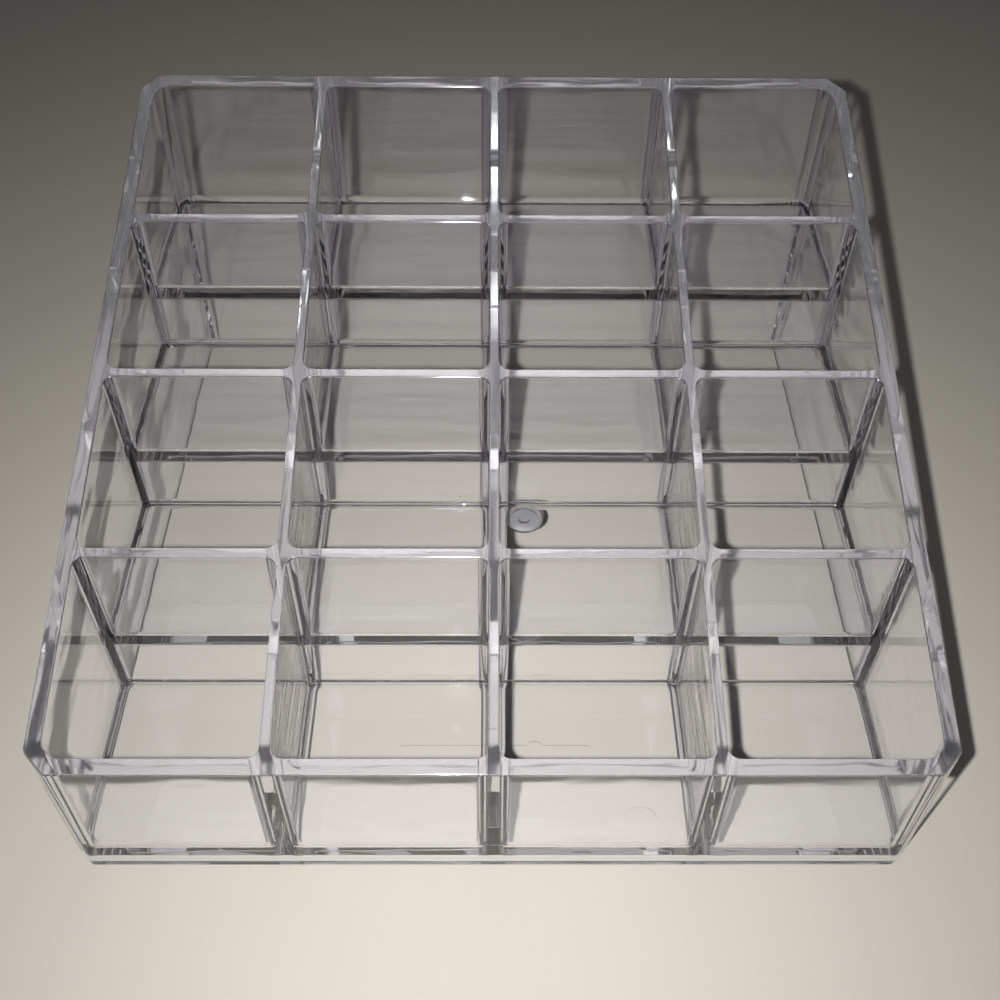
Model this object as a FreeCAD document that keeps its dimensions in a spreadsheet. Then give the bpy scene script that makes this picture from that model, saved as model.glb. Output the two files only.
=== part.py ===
import FreeCAD, Part
import os
import Sketcher

# A clear moulded organizer: four rows of open cells on floors that step up towards the back.
# The front faces -Y, the table is z = 0 and the origin is under the middle of the outer box.

os.makedirs("parts", exist_ok=True)
doc = FreeCAD.newDocument("vanity_organizer")

# Driving dimensions in millimetres.
sizes = {
    "outer_width": 220,
    "outer_depth": 211,
    "wall_thickness": 3.6,
    "divider_thickness": 2.6,
    "floor_thickness": 3.2,
    "foot_height": 3.2,
    "tier_rise": 19.9,
    "front_rim_height": 40.6,
    "back_rim_height": 42.4,
    "corner_cut": 5.4,
    "gate_diameter": 11,
    "gate_ring_width": 1.6,
    "gate_ring_height": 0.5,
    "gate_web_height": 0.2,
    "gate_nub_diameter": 3.4,
    "gate_nub_height": 0.7,
    "gate_side_gap": 2.4,
    "gate_back_gap": 0.9,
    "cut_overrun": 5,
}
sheet = doc.addObject("Spreadsheet::Sheet", "Sizes")
for line, (alias, value) in enumerate(sizes.items(), start=1):
    sheet.set(f"A{line}", alias)
    sheet.set(f"B{line}", str(value))
    sheet.setAlias(f"B{line}", alias)
doc.recompute()

rows = ["front", "second", "third", "back"]
columns = ["left", "middle", "right"]
cross_walls = ["front_cross_wall", "middle_cross_wall", "rear_cross_wall"]

# Expressions in the sheet's sizes, from the outside in.
wall = "Sizes.wall_thickness"
divider = "Sizes.divider_thickness"
half_width = "(Sizes.outer_width / 2)"
half_depth = "(Sizes.outer_depth / 2)"
inner_half_width = f"({half_width} - {wall})"
inner_half_depth = f"({half_depth} - {wall})"
corner_reach = f"(Sizes.corner_cut + {wall} * (sqrt(2) - 1))"
wall_half_width = f"({half_width} - {corner_reach})"
wall_half_depth = f"({half_depth} - {corner_reach})"
dividers_across = len(columns)
dividers_deep = len(cross_walls)
cell_width = f"((2 * {inner_half_width} - {dividers_across} * {divider}) / {dividers_across + 1})"
cell_depth = f"((2 * {inner_half_depth} - {dividers_deep} * {divider}) / {dividers_deep + 1})"

# Heights. The rim plane falls from the top of the back wall to the top of the front wall.
front_floor_top = "(Sizes.foot_height + Sizes.floor_thickness)"
front_top = f"({front_floor_top} + Sizes.front_rim_height)"
back_top = f"({front_floor_top} + {len(rows) - 1} * Sizes.tier_rise + Sizes.back_rim_height)"
rim_slope = f"(({back_top} - {front_top}) / Sizes.outer_depth)"


def rim_at(y):
    return f"({front_top} + ({y} + {half_depth}) * {rim_slope})"


def floor_top(row):
    return f"({front_floor_top} + {row} * Sizes.tier_rise)"


def floor_bottom(row):
    return f"({floor_top(row)} - Sizes.floor_thickness)"


def row_front(row):
    return f"(-{inner_half_depth} + {row} * ({cell_depth} + {divider}))"


def row_back(row):
    return f"({row_front(row)} + {cell_depth})"


def new_body(label):
    body = doc.addObject("PartDesign::Body", label)
    body.Label = label
    return body


def add_outline(body, plane, points):
    """Draws a closed outline on one of the body's origin planes, each corner tied to the sheet."""
    sketch = body.newObject("Sketcher::SketchObject", f"{body.Name}_{plane}_outline")
    support = next(feature for feature in body.Origin.OriginFeatures if feature.Role == plane)
    sketch.AttachmentSupport = [(support, "")]
    sketch.MapMode = "FlatFace"
    places = [[float(sheet.evalExpression(value)) for value in point] for point in points]
    corners = [FreeCAD.Vector(u, v, 0) for u, v in places]
    for index, corner in enumerate(corners):
        sketch.addGeometry(Part.LineSegment(corner, corners[(index + 1) % len(corners)]))
    for index, point in enumerate(points):
        sketch.addConstraint(Sketcher.Constraint("Coincident", index, 2, (index + 1) % len(points), 1))
        for kind, value, place in zip(("DistanceX", "DistanceY"), point, places[index]):
            constraint = sketch.addConstraint(Sketcher.Constraint(kind, -1, 1, index, 1, place))
            sketch.setExpression(f"Constraints[{constraint}]", value)
    return sketch


def add_pad(body, sketch, length, side="One side"):
    pad = body.newObject("PartDesign::Pad", f"{body.Name}_pad")
    pad.Profile = sketch
    pad.SideType = side
    pad.setExpression("Length", length)
    return pad


def sloped_panel(front, back, bottom):
    """Side view of an upright panel whose top lies in the rim plane."""
    return [(front, bottom), (back, bottom), (back, rim_at(back)), (front, rim_at(front))]


def build_front_and_back_walls():
    for label, front, back in (
        ("front_wall", f"-{half_depth}", f"-{inner_half_depth}"),
        ("back_wall", inner_half_depth, half_depth),
    ):
        body = new_body(label)
        sketch = add_outline(body, "YZ_Plane", sloped_panel(front, back, "0"))
        add_pad(body, sketch, f"2 * {wall_half_width}", "Symmetric")


def build_side_walls():
    for label, side in (("left_wall", -1), ("right_wall", 1)):
        body = new_body(label)
        sketch = add_outline(body, "YZ_Plane", sloped_panel(f"-{wall_half_depth}", wall_half_depth, "0"))
        add_pad(body, sketch, wall, "Symmetric")
        body.setExpression("Placement.Base.x", f"{side} * ({half_width} - {wall} / 2)")


def build_corners():
    """Each cut-off corner stands between a side wall and an end wall, cut to the rim plane."""
    for end, toward in (("front", -1), ("back", 1)):
        for side, across in (("left", -1), ("right", 1)):
            body = new_body(f"{end}_{side}_corner")
            plan = [
                (wall_half_width, half_depth),
                (f"({half_width} - Sizes.corner_cut)", half_depth),
                (half_width, f"({half_depth} - Sizes.corner_cut)"),
                (half_width, wall_half_depth),
                (inner_half_width, wall_half_depth),
                (wall_half_width, inner_half_depth),
            ]
            turned = [(f"{across} * {x}", f"{toward} * {y}") for x, y in plan]
            add_pad(body, add_outline(body, "XY_Plane", turned), back_top)
            front = f"(-{half_depth} - Sizes.cut_overrun)"
            back = f"({half_depth} + Sizes.cut_overrun)"
            above = f"({rim_at(back)} + Sizes.cut_overrun)"
            waste = [(front, rim_at(front)), (back, rim_at(back)), (back, above), (front, above)]
            pocket = body.newObject("PartDesign::Pocket", f"{body.Name}_rim_cut")
            pocket.Profile = add_outline(body, "YZ_Plane", waste)
            pocket.SideType = "Symmetric"
            pocket.setExpression("Length", "2 * Sizes.outer_width")


def build_floors():
    """The end floors lose two corners to the cut-off corners of the walls."""
    for row, name in enumerate(rows):
        body = new_body(f"{name}_floor")
        right_edge = [(inner_half_width, row_front(row)), (inner_half_width, row_back(row))]
        if row == 0:
            right_edge[:1] = [(wall_half_width, row_front(row)), (inner_half_width, f"-{wall_half_depth}")]
        if row == len(rows) - 1:
            right_edge[1:] = [(inner_half_width, wall_half_depth), (wall_half_width, row_back(row))]
        left_edge = [(f"-{x}", y) for x, y in reversed(right_edge)]
        add_pad(body, add_outline(body, "XY_Plane", right_edge + left_edge), "Sizes.floor_thickness")
        body.setExpression("Placement.Base.z", floor_bottom(row))


def build_cross_walls():
    """Each cross wall is a divider between two rows and the riser from the lower floor to the upper one."""
    for row, label in enumerate(cross_walls):
        body = new_body(label)
        panel = sloped_panel(row_back(row), row_front(row + 1), floor_bottom(row))
        add_pad(body, add_outline(body, "YZ_Plane", panel), f"2 * {inner_half_width}", "Symmetric")


def build_dividers():
    for row, row_name in enumerate(rows):
        panel = sloped_panel(row_front(row), row_back(row), floor_top(row))
        for step, side in enumerate(columns, start=-1):
            body = new_body(f"{row_name}_{side}_divider")
            add_pad(body, add_outline(body, "YZ_Plane", panel), divider, "Symmetric")
            body.setExpression("Placement.Base.x", f"{step} * ({cell_width} + {divider})")


def build_gate_mark():
    """A low ring with a broken-off nub, on the second floor beside the middle divider."""
    body = new_body("gate_mark")
    radius = "(Sizes.gate_diameter / 2)"
    ring_inside = f"({radius} - Sizes.gate_ring_width)"
    nub_radius = "(Sizes.gate_nub_diameter / 2)"
    profile = [
        ("0", "0"),
        (radius, "0"),
        (radius, "Sizes.gate_ring_height"),
        (ring_inside, "Sizes.gate_ring_height"),
        (ring_inside, "Sizes.gate_web_height"),
        (nub_radius, "Sizes.gate_web_height"),
        (nub_radius, "Sizes.gate_nub_height"),
        ("0", "Sizes.gate_nub_height"),
    ]
    sketch = add_outline(body, "XZ_Plane", profile)
    turned = body.newObject("PartDesign::Revolution", "gate_mark_turned")
    turned.Profile = sketch
    turned.ReferenceAxis = (sketch, ["V_Axis"])
    turned.Angle = 360
    row = rows.index("second")
    body.setExpression("Placement.Base.x", f"{divider} / 2 + Sizes.gate_side_gap + {radius}")
    body.setExpression("Placement.Base.y", f"{row_back(row)} - Sizes.gate_back_gap - {radius}")
    body.setExpression("Placement.Base.z", floor_top(row))


build_front_and_back_walls()
build_side_walls()
build_corners()
build_floors()
build_cross_walls()
build_dividers()
build_gate_mark()
doc.recompute()

failed = [item.Name for item in doc.Objects if {"Invalid", "Error"} & set(item.State)]
bodies = [item for item in doc.Objects if item.TypeId == "PartDesign::Body"]
failed += [body.Label for body in bodies if body.Shape.isNull() or not body.Shape.isValid()]
failed += [body.Label for body in bodies if len(body.Shape.Solids) != 1]
if failed:
    raise RuntimeError(f"These did not build: {failed}")
for body in bodies:
    body.Shape.exportStep(f"parts/{body.Label}.step")
print(f"{len(bodies)} sub-parts written")
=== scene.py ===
import math

import bmesh
import bpy
from mathutils import Matrix, Vector


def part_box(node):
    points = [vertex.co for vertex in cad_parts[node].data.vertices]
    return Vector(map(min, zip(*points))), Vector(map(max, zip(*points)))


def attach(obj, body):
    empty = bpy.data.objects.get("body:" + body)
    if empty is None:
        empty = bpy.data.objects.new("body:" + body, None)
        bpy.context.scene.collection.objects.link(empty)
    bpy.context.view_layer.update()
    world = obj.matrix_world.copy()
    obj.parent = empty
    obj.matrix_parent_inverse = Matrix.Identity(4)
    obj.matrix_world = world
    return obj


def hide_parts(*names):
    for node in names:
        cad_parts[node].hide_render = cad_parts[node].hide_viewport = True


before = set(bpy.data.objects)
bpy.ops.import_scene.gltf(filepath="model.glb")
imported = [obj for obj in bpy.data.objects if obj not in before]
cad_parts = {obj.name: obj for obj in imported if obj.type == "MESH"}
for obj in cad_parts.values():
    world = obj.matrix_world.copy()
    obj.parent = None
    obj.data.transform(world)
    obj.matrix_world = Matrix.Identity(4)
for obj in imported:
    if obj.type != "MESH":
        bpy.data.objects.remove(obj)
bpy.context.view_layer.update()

scene = bpy.context.scene
mm = 0.001
touch = 0.01 * mm  # a corner this close to a plane lies on it
steep = 0.9  # an edge or a normal with this share of its length along z stands upright
sharpAngle = 0.5  # radians between the two faces of a sharp edge
rowNames = ["front", "second", "third", "back"]
crossNames = ["front_cross_wall", "middle_cross_wall", "rear_cross_wall"]


# The frame's own planes, read from the CAD nodes.
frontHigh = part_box("front_wall")[1]
backLow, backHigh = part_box("back_wall")
leftLow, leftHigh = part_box("left_wall")
halfWidth = -leftLow.x
halfDepth = backHigh.y
wallThickness = leftHigh.x - leftLow.x
innerHalfWidth = -leftHigh.x
innerHalfDepth = backLow.y
cornerReach = halfWidth - frontHigh.x
cornerCut = cornerReach - wallThickness * (math.sqrt(2) - 1)
rimSlope = (backHigh.z - frontHigh.z) / (backHigh.y - frontHigh.y)
rimNormal = Vector((0, -rimSlope, 1)).normalized()


def rimAt(y):
    return backHigh.z + (y - backHigh.y) * rimSlope


def columnEdges():
    edges = [-innerHalfWidth]
    for side in ("left", "middle", "right"):
        low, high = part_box(f"front_{side}_divider")
        edges += [low.x, high.x]
    edges.append(innerHalfWidth)
    return list(zip(edges[0::2], edges[1::2]))


def deselectAll():
    bpy.ops.object.select_all(action="DESELECT")


def edit(piece, kind="EDGE"):
    deselectAll()
    piece.select_set(True)
    bpy.context.view_layer.objects.active = piece
    bpy.ops.object.mode_set(mode="EDIT")
    bpy.ops.mesh.select_mode(type=kind)
    bpy.ops.mesh.select_all(action="DESELECT")


def leaveEdit():
    bpy.ops.object.mode_set(mode="OBJECT")


# Selects, in edit mode, the edges, faces or corners that pass a test on their place or normal.
def pick(piece, kind, test):
    bpy.ops.mesh.select_mode(type={"edges": "EDGE", "faces": "FACE", "verts": "VERT"}[kind])
    bpy.ops.mesh.select_all(action="DESELECT")
    mesh = bmesh.from_edit_mesh(piece.data)
    mesh.normal_update()
    for item in getattr(mesh, kind):
        if test(item):
            item.select_set(True)
    mesh.select_flush_mode()
    bmesh.update_edit_mesh(piece.data)


def addBox(name, low, high):
    deselectAll()
    low, high = Vector(low), Vector(high)
    bpy.ops.mesh.primitive_cube_add(size=1, location=(low + high) / 2, scale=high - low)
    bpy.ops.object.transform_apply(location=True, rotation=False, scale=True)
    piece = bpy.context.object
    piece.name = name
    return piece


def combine(piece, tool, operation):
    deselectAll()
    bpy.context.view_layer.objects.active = piece
    joint = piece.modifiers.new("Boolean", "BOOLEAN")
    joint.operation = operation
    joint.solver = "EXACT"
    joint.object = tool
    bpy.ops.object.modifier_apply(modifier=joint.name)
    bpy.data.objects.remove(tool)


def isUpright(edge):
    along = edge.verts[0].co - edge.verts[1].co
    return abs(along.z) > steep * along.length


def isSharp(edge):
    return edge.calc_face_angle() > sharpAngle


def lieAt(edge, z):
    return all(abs(corner.co.z - z) < touch for corner in edge.verts)


# Moulding: one closed solid, because a clear wall shows every inner face.
moulding = {
    "outerFlare": 0.006,  # how far the outer walls lean out for each unit of height
    "cornerRound": 0.8 * mm,
    "rimRound": 0.4 * mm,
    "footRound": 0.35 * mm,
    "smoothAngle": 35,  # edges that turn by more degrees than this stay crisp
    "overrun": 10 * mm,  # how far the block stands over the back rim before the rim is cut
}


def makeBlock():
    top = backHigh.z + moulding["overrun"]
    block = addBox("organizer_moulding", (-halfWidth, -halfDepth, 0), (halfWidth, halfDepth, top))
    edit(block)
    pick(block, "edges", isUpright)
    bpy.ops.mesh.bevel(offset=cornerCut, segments=1, affect="EDGES")
    pick(block, "verts", lambda corner: corner.co.z > top / 2)
    lean = moulding["outerFlare"] * top
    widen = (1 + lean / halfWidth, 1 + lean / halfDepth, 1)
    bpy.ops.transform.resize(value=widen, center_override=(0, 0, 0))
    pick(block, "edges", isUpright)
    bpy.ops.mesh.bevel(offset=moulding["cornerRound"], segments=3, affect="EDGES")
    bpy.ops.mesh.select_all(action="SELECT")
    rimPoint = (0, backHigh.y, backHigh.z)
    bpy.ops.mesh.bisect(plane_co=rimPoint, plane_no=rimNormal, use_fill=True, clear_outer=True)
    leaveEdit()
    return block


# Cells: each is cut with a tapered, round-cornered plug.
cells = {
    "draft": 0.005,
    "floorTight": 0.25 * mm,  # at the floor each side of the plug stands this far inside the CAD cell
    "cornerRound": 2.8 * mm,
    "wallCornerRound": 1.3 * mm,
    "floorRound": 2.3 * mm,
    "cutBand": 0.6 * mm,  # upright edges this near the cut-off corner belong to it
    "cutClear": 9 * mm,  # and those further off than this are the plug's own corners
    "overrun": 6 * mm,
}


def makeCellPlug(row, column):
    floorLow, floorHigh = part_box(f"{rowNames[row]}_floor")
    left, right = columnEdges()[column]
    front, back = floorLow.y, floorHigh.y
    floor = floorHigh.z
    top = rimAt(back) + cells["overrun"]
    tight = cells["floorTight"]
    plug = addBox("cell_plug", (left + tight, front + tight, floor), (right - tight, back - tight, top))
    edit(plug)
    pick(plug, "verts", lambda corner: corner.co.z > (floor + top) / 2)
    spread = 2 * cells["draft"] * (top - floor)
    widen = (1 + spread / (right - left - 2 * tight), 1 + spread / (back - front - 2 * tight), 1)
    centre = ((left + right) / 2, (front + back) / 2, 0)
    bpy.ops.transform.resize(value=widen, center_override=centre)
    across = {0: -1, 3: 1}.get(column, 0)
    toward = {0: -1, 3: 1}.get(row, 0)
    if across and toward:
        bpy.ops.mesh.select_all(action="SELECT")
        onWall = Vector((across * innerHalfWidth, toward * leftHigh.y, 0))
        outward = Vector((across, toward, 0)).normalized()
        bpy.ops.mesh.bisect(plane_co=onWall, plane_no=outward, use_fill=True, clear_outer=True)
        inside = lambda edge: (onWall - edge.verts[0].co).dot(outward)
        pick(plug, "edges", lambda edge: isUpright(edge) and inside(edge) < cells["cutBand"])
        bpy.ops.mesh.bevel(offset=cells["wallCornerRound"], segments=4, affect="EDGES")
        pick(plug, "edges", lambda edge: isUpright(edge) and inside(edge) > cells["cutClear"])
    else:
        pick(plug, "edges", isUpright)
    bpy.ops.mesh.bevel(offset=cells["cornerRound"], segments=6, affect="EDGES")
    pick(plug, "edges", lambda edge: lieAt(edge, floor))
    bpy.ops.mesh.bevel(offset=cells["floorRound"], segments=5, affect="EDGES")
    leaveEdit()
    return plug


def makeCellPlugs():
    plugs = [makeCellPlug(row, column) for row in range(4) for column in range(4)]
    deselectAll()
    for plug in plugs:
        plug.select_set(True)
    bpy.context.view_layer.objects.active = plugs[0]
    bpy.ops.object.join()
    return plugs[0]


# Underside: hollow below the stepped floors.
underside = {
    "ceilingRound": 0.6 * mm,
    "ceilingRaise": 0.25 * mm,  # the upper floors are moulded this much thinner than the CAD plates
    "overrun": 3 * mm,
}


def makeUndersidePlug():
    ceilings = [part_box(f"{name}_floor")[0].z for name in rowNames]
    ceilings[1:] = [ceiling + underside["ceilingRaise"] for ceiling in ceilings[1:]]
    risers = [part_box(name)[1].y for name in crossNames]
    low = (-innerHalfWidth, -innerHalfDepth, -underside["overrun"])
    plug = addBox("underside_plug", low, (innerHalfWidth, innerHalfDepth, ceilings[0]))
    edit(plug)
    for riser in risers:
        bpy.ops.mesh.select_all(action="SELECT")
        bpy.ops.mesh.bisect(plane_co=(0, riser, 0), plane_no=(0, 1, 0))
    for step, riser in enumerate(risers):
        pick(plug, "faces", lambda face: face.normal.z > steep and face.calc_center_median().y > riser)
        rise = ceilings[step + 1] - ceilings[step]
        bpy.ops.mesh.extrude_region_move(TRANSFORM_OT_translate={"value": (0, 0, rise)})
    pick(plug, "edges", lambda edge: isSharp(edge) and not lieAt(edge, low[2]))
    bpy.ops.mesh.bevel(offset=underside["ceilingRound"], segments=3, affect="EDGES")
    leaveEdit()
    return plug


# Gate mark: the disc where the melt came in, with a raised ring and a trimmed nub.
gate = {
    "ringWidth": 1.5 * mm,
    "ringHeight": 0.6 * mm,
    "dish": 0.4 * mm,
    "nubRadius": 1.8 * mm,
    "nubHeight": 0.6 * mm,
    "edgeRound": 0.18 * mm,
    "root": 1.0 * mm,  # how far the disc reaches down into the floor
}


def makeGate():
    low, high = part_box("gate_mark")
    radius = (high.x - low.x) / 2
    centre = ((low.x + high.x) / 2, (low.y + high.y) / 2)
    top = low.z + gate["ringHeight"]
    bottom = low.z - gate["root"]
    deselectAll()
    bpy.ops.mesh.primitive_cylinder_add(vertices=64, radius=radius, depth=top - bottom,
                                        location=(*centre, (top + bottom) / 2))
    bpy.ops.object.transform_apply(location=True)
    disc = bpy.context.object
    edit(disc)
    pick(disc, "faces", lambda face: face.normal.z > steep)
    bpy.ops.mesh.inset(thickness=gate["ringWidth"])
    bpy.ops.mesh.extrude_region_move(TRANSFORM_OT_translate={"value": (0, 0, -gate["dish"])})
    bpy.ops.mesh.inset(thickness=radius - gate["ringWidth"] - gate["nubRadius"])
    bpy.ops.mesh.extrude_region_move(TRANSFORM_OT_translate={"value": (0, 0, gate["nubHeight"])})
    pick(disc, "edges", lambda edge: isSharp(edge) and edge.verts[0].co.z > low.z)
    bpy.ops.mesh.bevel(offset=gate["edgeRound"], segments=3, affect="EDGES")
    leaveEdit()
    return disc


# Tool marks: the outlines that a bare insert and two ejector pins left under the front floor.
toolMarks = {
    "depth": 0.15 * mm,
    "insertSize": (53 * mm, 21 * mm),
    "insertPlace": (0.3 * mm, -83 * mm),
    "insertRound": 1.2 * mm,
    "pins": [(11.3 * mm, -74 * mm, 2.8 * mm), (39.4 * mm, -94 * mm, 5.0 * mm)],  # across, along, radius
}


def makeInsertPlug():
    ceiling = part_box("front_floor")[0].z
    halfX, halfY = (size / 2 for size in toolMarks["insertSize"])
    x, y = toolMarks["insertPlace"]
    low = (x - halfX, y - halfY, ceiling - underside["overrun"])
    plug = addBox("insert_plug", low, (x + halfX, y + halfY, ceiling + toolMarks["depth"]))
    edit(plug)
    pick(plug, "edges", isUpright)
    bpy.ops.mesh.bevel(offset=toolMarks["insertRound"], segments=5, affect="EDGES")
    leaveEdit()
    return plug


def makePinPlug(x, y, radius):
    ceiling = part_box("front_floor")[0].z
    top = ceiling + toolMarks["depth"]
    bottom = ceiling - underside["overrun"]
    deselectAll()
    bpy.ops.mesh.primitive_cylinder_add(vertices=48, radius=radius, depth=top - bottom,
                                        location=(x, y, (top + bottom) / 2))
    bpy.ops.object.transform_apply(location=True)
    return bpy.context.object


def offRim(corner):
    return abs((corner.co - Vector((0, backHigh.y, backHigh.z))).dot(rimNormal))


def roundEdges(block):
    edit(block)
    onRim = lambda edge: all(offRim(corner) < touch for corner in edge.verts)
    pick(block, "edges", lambda edge: onRim(edge) and isSharp(edge))
    bpy.ops.mesh.bevel(offset=moulding["rimRound"], segments=3, affect="EDGES")
    pick(block, "edges", lambda edge: lieAt(edge, 0) and isSharp(edge))
    bpy.ops.mesh.bevel(offset=moulding["footRound"], segments=2, affect="EDGES")
    leaveEdit()


# Finishes go by where a face points, as shares of its normal.
facing = {
    "aside": 0.1,  # less than this along an axis turns no light
    "level": 0.97,  # more than this along z is a flat floor or top
    "cutBand": 0.05,  # x and y that differ by less belong to a cut-off corner
    "rim": 0.5,  # the rim and its rounds have more than this along the rim's normal
}


# A bend is a face that turns the lamp's light to one side: a fillet or a round corner, but no flat cut.
def isBend(face):
    x, y, z = (abs(part) for part in face.normal)
    isFillet = facing["aside"] < z < facing["level"]
    isCorner = y > facing["aside"] and abs(x - y) > facing["cutBand"]
    return x > facing["aside"] and (isFillet or isCorner)


# Gives the rounds, the rim with its edges, and the flats of the gate their own finish.
def finishFaces(block):
    low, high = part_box("gate_mark")
    gateCentre = (low + high) / 2
    gateReach = (high.x - low.x) / 2 + gate["edgeRound"]
    rimBand = moulding["rimRound"] + 2 * touch
    nearGate = lambda face: all((corner.co - gateCentre).length < gateReach for corner in face.verts)
    nearRim = lambda face: all(offRim(corner) < rimBand for corner in face.verts)
    isGateTop = lambda face: face.normal.z > facing["level"] and nearGate(face)
    isRim = lambda face: face.normal.dot(rimNormal) > facing["rim"] and nearRim(face)
    edit(block, "FACE")
    for index, test in ((1, isBend), (2, isRim), (3, isGateTop)):
        pick(block, "faces", test)
        block.active_material_index = index
        bpy.ops.object.material_slot_assign()
    leaveEdit()


def makeMoulding(finishes):
    block = makeBlock()
    for finish in finishes:
        block.data.materials.append(finish)
    print("block made")
    combine(block, makeCellPlugs(), "DIFFERENCE")
    print("cells cut")
    combine(block, makeUndersidePlug(), "DIFFERENCE")
    combine(block, makeInsertPlug(), "DIFFERENCE")
    for pin in toolMarks["pins"]:
        combine(block, makePinPlug(*pin), "DIFFERENCE")
    print("underside cut")
    combine(block, makeGate(), "UNION")
    roundEdges(block)
    finishFaces(block)
    print("gate added, edges rounded and finishes given")
    return block


# Material helpers.
def linear(hexCode):
    parts = [int(hexCode[i:i + 2], 16) / 255 for i in (1, 3, 5)]
    return tuple(p / 12.92 if p <= 0.04045 else ((p + 0.055) / 1.055) ** 2.4 for p in parts) + (1.0,)


def addNode(tree, kind, settings=None, sockets=None, links=None):
    node = tree.nodes.new(kind)
    for name, value in (settings or {}).items():
        setattr(node, name, value)
    for name, value in (sockets or {}).items():
        node.inputs[name].default_value = value
    for name, source in (links or {}).items():
        tree.links.new(source, node.inputs[name])
    return node


def newMaterial(name):
    material = bpy.data.materials.new(name)
    material.use_nodes = True
    material.node_tree.nodes.clear()
    return material


# Clear general-purpose polystyrene, injection moulded in a polished tool. It gives the eye a water-clear
# wall with a faint violet cast along its thick edges, sharp reflections, and streaks where the melt flowed.
# At the rim, where the halves of the tool meet, the finish is a light satin: it shows as a pale band, and
# the light that enters it stays in the wall, so it throws a dark line. The torn gate is frosted.
clearPolystyrene = {
    "base": "#fbfbff",
    "edgeTint": "#5f5ced",
    "tintDensity": 0.3,
    "ior": 1.59,
    "streakLength": 24 * mm,
    "streakWidth": 10 * mm,
    "streakHeight": 0.1 * mm,
    "polished": {"roughness": 0.0, "clearness": 1.0, "shadow": "#ffffff"},
    "bent": {"roughness": 0.0, "clearness": 1.0, "shadow": "#808083"},
    "satin": {"roughness": 0.1, "clearness": 0.955, "shadow": "#202024"},
    "frosted": {"roughness": 0.15, "clearness": 0.8, "shadow": "#202024"},
}


def makePolystyrene(name, finish):
    look = clearPolystyrene
    material = newMaterial(name)
    tree = material.node_tree
    place = addNode(tree, "ShaderNodeTexCoord")
    stretch = (1 / look["streakLength"], 1 / look["streakLength"], 1 / look["streakWidth"])
    along = addNode(tree, "ShaderNodeMapping", sockets={"Scale": stretch},
                    links={"Vector": place.outputs["Object"]})
    streak = addNode(tree, "ShaderNodeTexNoise", sockets={"Scale": 1.0, "Detail": 1.0},
                     links={"Vector": along.outputs["Vector"]})
    bump = addNode(tree, "ShaderNodeBump", sockets={"Strength": 1.0, "Distance": look["streakHeight"]},
                   links={"Height": streak.outputs["Fac"]})
    gloss = {
        "Base Color": linear(look["base"]),
        "Transmission Weight": finish["clearness"],
        "IOR": look["ior"],
        "Roughness": finish["roughness"],
    }
    body = addNode(tree, "ShaderNodeBsdfPrincipled", sockets=gloss,
                   links={"Normal": bump.outputs["Normal"]})
    clear = addNode(tree, "ShaderNodeBsdfTransparent", sockets={"Color": linear(finish["shadow"])})
    rays = addNode(tree, "ShaderNodeLightPath")
    mix = addNode(tree, "ShaderNodeMixShader", links={"Fac": rays.outputs["Is Shadow Ray"]})
    tree.links.new(body.outputs[0], mix.inputs[1])
    tree.links.new(clear.outputs[0], mix.inputs[2])
    tint = addNode(tree, "ShaderNodeVolumeAbsorption", sockets={
        "Color": linear(look["edgeTint"]), "Density": look["tintDensity"]})
    addNode(tree, "ShaderNodeOutputMaterial", links={"Surface": mix.outputs[0], "Volume": tint.outputs[0]})
    return material


polished = makePolystyrene("clear_polystyrene", clearPolystyrene["polished"])
bent = makePolystyrene("rounded_polystyrene", clearPolystyrene["bent"])
satin = makePolystyrene("satin_polystyrene", clearPolystyrene["satin"])
frosted = makePolystyrene("frosted_polystyrene", clearPolystyrene["frosted"])
print("plastic mixed")
organizer = makeMoulding([polished, bent, satin, frosted])
deselectAll()
organizer.select_set(True)
bpy.context.view_layer.objects.active = organizer
bpy.ops.object.shade_smooth_by_angle(angle=math.radians(moulding["smoothAngle"]))
soften = organizer.modifiers.new("Weighted", "WEIGHTED_NORMAL")
soften.keep_sharp = True
soften.weight = 100
bpy.ops.object.modifier_apply(modifier=soften.name)
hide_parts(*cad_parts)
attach(organizer, "root")


# Floor and lamps. The key lamp stands beside the camera, so the rims throw narrow shadows to their right.
studio = {
    "floorSize": 6.0,
    "floorDrop": 0.03 * mm,
    "floorColour": "#cac5b9",
    "floorRoughness": 0.6,
    "keyPlace": (-0.020, -0.241, 0.291),
    "keyTarget": (0.006, 0.012, 0.0),
    "keySize": 0.007,
    "keyPower": 0.71,
    "keySpread": 122,
    "fillPlace": (0.0, 0.10, 1.2),
    "fillTarget": (0.0, 0.0, 0.0),
    "fillSize": 0.8,
    "fillPower": 0.65,
    "cardPlace": (0.0, 0.5, 1.2),
    "cardTarget": (0.0, 0.1, 0.0),
    "cardSize": 1.4,
    "cardDepth": 0.7,
    "cardPower": 3.4,
    "worldColour": "#d4d2d0",
    "worldStrength": 0.015,
}


def makeFloor():
    deselectAll()
    bpy.ops.mesh.primitive_plane_add(size=studio["floorSize"], location=(0, 0, -studio["floorDrop"]))
    bpy.ops.object.transform_apply(location=True)
    floor = bpy.context.object
    floor.name = "studio_floor"
    material = newMaterial("matt_table_top")
    tree = material.node_tree
    paint = addNode(tree, "ShaderNodeBsdfPrincipled", sockets={
        "Base Color": linear(studio["floorColour"]), "Roughness": studio["floorRoughness"]})
    addNode(tree, "ShaderNodeOutputMaterial", links={"Surface": paint.outputs[0]})
    floor.data.materials.append(material)


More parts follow.
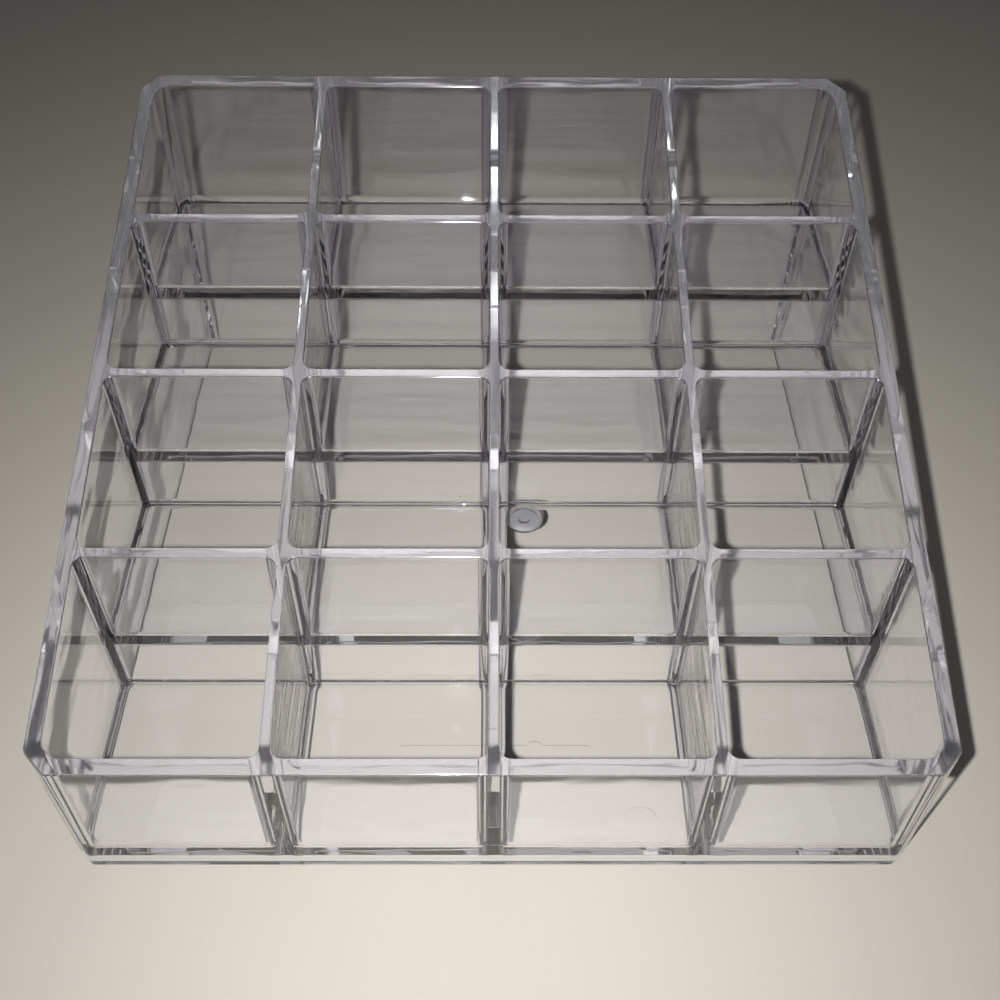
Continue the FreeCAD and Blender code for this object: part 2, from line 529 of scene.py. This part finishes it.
def addLamp(name, shape, role):
    lamp = bpy.data.lights.new(name, "AREA")
    lamp.shape = shape
    lamp.size = studio[f"{role}Size"]
    lamp.energy = studio[f"{role}Power"]
    holder = bpy.data.objects.new(name, lamp)
    scene.collection.objects.link(holder)
    holder.location = studio[f"{role}Place"]
    aim = Vector(studio[f"{role}Target"]) - holder.location
    holder.rotation_euler = aim.to_track_quat("-Z", "Y").to_euler()
    return holder


def makeLamps():
    key = addLamp("key_lamp", "DISK", "key")
    key.data.spread = math.radians(studio["keySpread"])
    addLamp("overhead_fill", "SQUARE", "fill")
    card = addLamp("reflector_card", "RECTANGLE", "card")
    card.data.size_y = studio["cardDepth"]
    card.visible_diffuse = False  # only reflections see the card, so the rims stand out from the table
    card.visible_transmission = False
    world = bpy.data.worlds.new("studio")
    scene.world = world
    world.use_nodes = True
    glow = world.node_tree.nodes["Background"]
    glow.inputs["Color"].default_value = linear(studio["worldColour"])
    glow.inputs["Strength"].default_value = studio["worldStrength"]


makeFloor()
makeLamps()
print("floor and lamps placed")


# Camera at the photograph's place, tilted down and turned a little.
view = {
    "place": (-0.75 * mm, -243.33 * mm, 290.96 * mm),
    "tiltDown": 47.381,
    "turn": -0.632,
    "roll": 0.589,
    "lens": 42.274,
    "sensor": 36.0,
    "clipStart": 10 * mm,
}


def makeCamera():
    lens = bpy.data.cameras.new("photo_camera")
    lens.lens = view["lens"]
    lens.sensor_width = view["sensor"]
    lens.sensor_fit = "HORIZONTAL"
    lens.clip_start = view["clipStart"]
    camera = bpy.data.objects.new("photo_camera", lens)
    scene.collection.objects.link(camera)
    turn = Matrix.Rotation(math.radians(view["turn"]), 4, "Z")
    tilt = Matrix.Rotation(math.radians(90 - view["tiltDown"]), 4, "X")
    roll = Matrix.Rotation(math.radians(view["roll"]), 4, "Z")
    camera.matrix_world = Matrix.Translation(view["place"]) @ turn @ tilt @ roll
    scene.camera = camera


makeCamera()
print("camera placed")
scene.view_settings.view_transform = "Standard"
scene.cycles.max_bounces = 32
scene.cycles.transmission_bounces = 32
scene.cycles.glossy_bounces = 32
scene.cycles.transparent_max_bounces = 48
scene.cycles.caustics_refractive = False
scene.cycles.caustics_reflective = False
